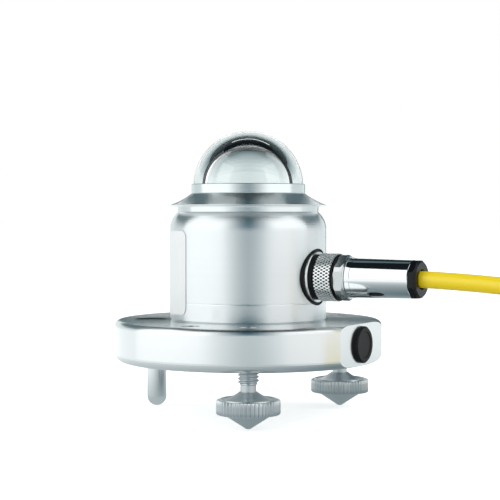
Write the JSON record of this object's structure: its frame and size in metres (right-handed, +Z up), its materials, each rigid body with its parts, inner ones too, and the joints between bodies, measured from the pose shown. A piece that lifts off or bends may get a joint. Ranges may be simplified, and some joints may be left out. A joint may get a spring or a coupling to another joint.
{
  "type": "pyranometer",
  "caption": "Solar radiation sensor with a glass dome on a turned metal body, a round base with knurled levelling screws, a bubble level and a side connector with its cable.",
  "frame": {"origin": "on the dome's axis, on the plane through the tips of the three feet", "axes": "+Z up along the dome's axis; +X along the connector, away from the body; +Y completes the right-handed frame, along the line of the two mounting holes"},
  "size_m": [0.2267, 0.1, 0.0845],
  "materials": {
    "base_aluminium": "satin clear anodised, fine turned",
    "body_aluminium": "satin clear anodised, fine turned",
    "screw_steel": "turned and knurled",
    "foot_steel": "polished",
    "screw_head_steel": "plain",
    "black_rubber": "matt",
    "black_plastic": "satin",
    "label_film": "satin film",
    "dome_glass": "polished",
    "level_cup": "black anodised",
    "level_fluid": "clear",
    "level_window": "polished",
    "sensor_metal": "turned",
    "sensor_ceramic": "matt ceramic",
    "absorber_black": "dead matt",
    "screen_white": "matt",
    "board_green": "solder mask",
    "component_black": "moulded",
    "wire_skin": "satin",
    "nickel": "nickel plated",
    "nut_brass": "plain",
    "insert_black": "moulded",
    "contact_gold": "gold plated",
    "shell_chrome": "polished",
    "cable_yellow": "smooth extruded jacket",
    "core_skins": "coloured insulation"
  },
  "bodies": {
    "housing": {"base_flange": "base_aluminium", "fixed_foot": "foot_steel", "port_plug": "black_rubber", "level_cup": "level_cup", "level_fluid": "level_fluid", "level_window": "level_window", "body_seal": "black_rubber", "body_screws": "screw_head_steel", "body_shell": "body_aluminium", "rating_label": "label_film", "dome_cap": "body_aluminium", "dome_seal": "black_rubber", "glass_dome": "dome_glass", "sensor_base": "sensor_metal", "thermopile": "sensor_ceramic", "absorber_disc": "absorber_black", "screen_ring": "screen_white", "sensor_leads": "wire_skin", "board_spacers": "screw_head_steel", "circuit_board": "board_green", "board_components": "component_black", "board_screws": "screw_head_steel", "harness": "wire_skin", "receptacle_gasket": "black_rubber", "receptacle_body": "nickel", "receptacle_nut": "nut_brass", "receptacle_insert": "insert_black", "receptacle_pins": "contact_gold", "nose_seal": "black_rubber"},
    "front_stud": {"front_levelling_stud": "screw_steel"},
    "front_wheel": {"front_thumbwheel": "screw_steel"},
    "rear_stud": {"rear_levelling_stud": "screw_steel"},
    "rear_wheel": {"rear_thumbwheel": "screw_steel"},
    "plug": {"ring_washer": "black_plastic", "plug_nut": "nickel", "plug_insert": "insert_black", "plug_contacts": "contact_gold", "plug_cores": "wire_skin", "plug_shell": "shell_chrome", "clamp_seal": "black_rubber", "clamp_cap": "black_plastic", "cable_lead": "cable_yellow", "cable_coil": "cable_yellow", "cable_end_cores": "core_skins"},
    "ring": {"coupling_ring": "nickel"}
  },
  "joints": [
    {"name": "front_screw_turn", "type": "hinge", "parent": "front_stud", "child": "front_wheel", "pos_m": [0.0165, -0.02858, 0.006], "axis": [0, 0, 1], "range_deg": [-1440.5, 1440.5]},
    {"name": "front_screw_rise", "type": "slide", "parent": "housing", "child": "front_stud", "axis": [0, 0, 1], "range_m": [-0.004, 0.004]},
    {"name": "rear_screw_turn", "type": "hinge", "parent": "rear_stud", "child": "rear_wheel", "pos_m": [0.0165, 0.02858, 0.006], "axis": [0, 0, 1], "range_deg": [-1440.5, 1440.5]},
    {"name": "rear_screw_rise", "type": "slide", "parent": "housing", "child": "rear_stud", "axis": [0, 0, 1], "range_m": [-0.004, 0.004]},
    {"name": "plug_pull", "type": "slide", "parent": "housing", "child": "plug", "axis": [1, 0, 0], "range_m": [0, 0.014]},
    {"name": "ring_turn", "type": "hinge", "parent": "plug", "child": "ring", "pos_m": [0.0285, 0, 0.0413], "axis": [1, 0, 0], "range_deg": [0, 1440]}
  ],
  "couplings": [
    {"joint": "front_screw_turn", "follows": "front_screw_rise", "rad_per_m": 6283.2},
    {"joint": "rear_screw_turn", "follows": "rear_screw_rise", "rad_per_m": 6283.2}
  ]
}
